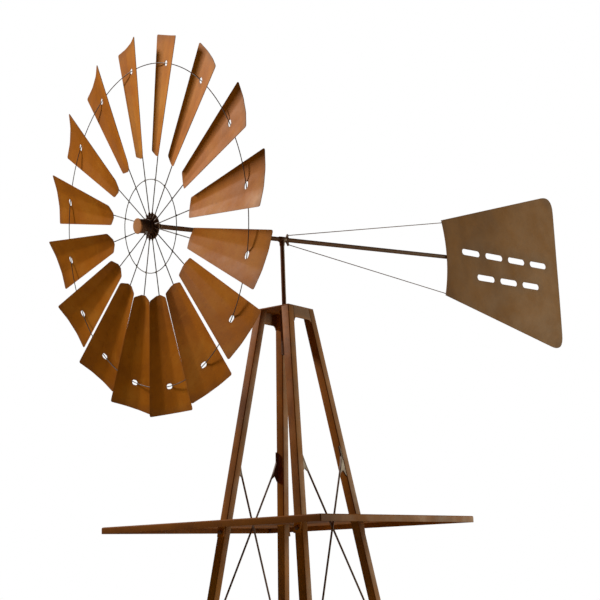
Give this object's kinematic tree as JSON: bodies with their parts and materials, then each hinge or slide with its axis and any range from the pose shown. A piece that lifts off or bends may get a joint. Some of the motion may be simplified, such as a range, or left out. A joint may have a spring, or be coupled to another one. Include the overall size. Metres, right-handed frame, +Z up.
{
  "type": "garden windmill",
  "caption": "Rusted steel garden windmill with a bladed wind wheel and tail vane that turn on a mast rod over a tapered braced tower with a square deck.",
  "frame": {"origin": "centre of the whole object's footprint box, on the ground under the feet", "axes": "+Z up; the tower's faces look along X and Y; the wheel stands on the -Y side and the tail vane on the +Y side, the boom turned 14 degrees from +Y towards +X"},
  "size_m": [0.7944, 1.4044, 2.3867],
  "materials": {
    "blade_steel": "thin sheet steel with an even orange-brown rust bloom",
    "wheel_wire": "rusted steel wire, dark brown",
    "fitting_steel": "turned and welded steel fittings, dark rust",
    "rod_steel": "rusted round bar, red-brown",
    "vane_steel": "flat sheet with a uniform brown rust patina",
    "brace_steel": "rusted thin rod, grey-brown",
    "deck_steel": "folded sheet, brown rust",
    "tower_steel": "rusted square tube and flat bar, orange-brown to dark brown"
  },
  "bodies": {
    "tower": {"brace_left_lower_front_high": "brace_steel", "brace_left_lower_rear_high": "brace_steel", "brace_left_upper_front_high": "brace_steel", "brace_left_upper_rear_high": "brace_steel", "brace_right_lower_front_high": "brace_steel", "brace_right_lower_rear_high": "brace_steel", "brace_right_upper_front_high": "brace_steel", "brace_right_upper_rear_high": "brace_steel", "cap_channel": "tower_steel", "deck": "deck_steel", "deck_clip_front_left": "tower_steel", "deck_clip_front_right": "tower_steel", "deck_clip_rear_left": "tower_steel", "deck_clip_rear_right": "tower_steel", "foot_front_left": "tower_steel", "foot_front_right": "tower_steel", "foot_rear_left": "tower_steel", "foot_rear_right": "tower_steel", "leg_front_left": "tower_steel", "leg_front_right": "tower_steel", "leg_rear_left": "tower_steel", "leg_rear_right": "tower_steel", "mast_bush": "fitting_steel", "mast_socket": "fitting_steel", "tie_front": "tower_steel", "tie_left": "tower_steel", "tie_rear": "tower_steel", "tie_right": "tower_steel"},
    "head": {"mast": "rod_steel", "mast_tee": "fitting_steel", "boom": "rod_steel", "wire_lug_top": "fitting_steel", "wire_lug_bottom": "fitting_steel", "tail_wire_top": "brace_steel", "tail_wire_bottom": "brace_steel", "tail_vane": "vane_steel", "axle": "rod_steel", "axle_nut": "fitting_steel", "stop_collar": "fitting_steel"},
    "rotor": {"blade_01": "blade_steel", "blade_02": "blade_steel", "blade_03": "blade_steel", "blade_04": "blade_steel", "blade_05": "blade_steel", "blade_06": "blade_steel", "blade_07": "blade_steel", "blade_08": "blade_steel", "blade_09": "blade_steel", "blade_10": "blade_steel", "blade_11": "blade_steel", "blade_12": "blade_steel", "blade_13": "blade_steel", "blade_14": "blade_steel", "blade_15": "blade_steel", "blade_16": "blade_steel", "hub_barrel": "fitting_steel", "hub_nose_disc": "fitting_steel", "inner_ring": "wheel_wire", "outer_ring": "wheel_wire", "spoke_spider": "wheel_wire"}
  },
  "joints": [
    {"name": "head_yaw", "type": "hinge", "parent": "tower", "child": "head", "pos_m": [0.0786, -0.23383, 1.85], "axis": [0, 0, 1], "continuous": true},
    {"name": "wheel_spin", "type": "hinge", "parent": "head", "child": "rotor", "pos_m": [-0.00641, -0.57477, 1.99297], "axis": [-0.24, -0.9626, -0.1253], "continuous": true}
  ]
}
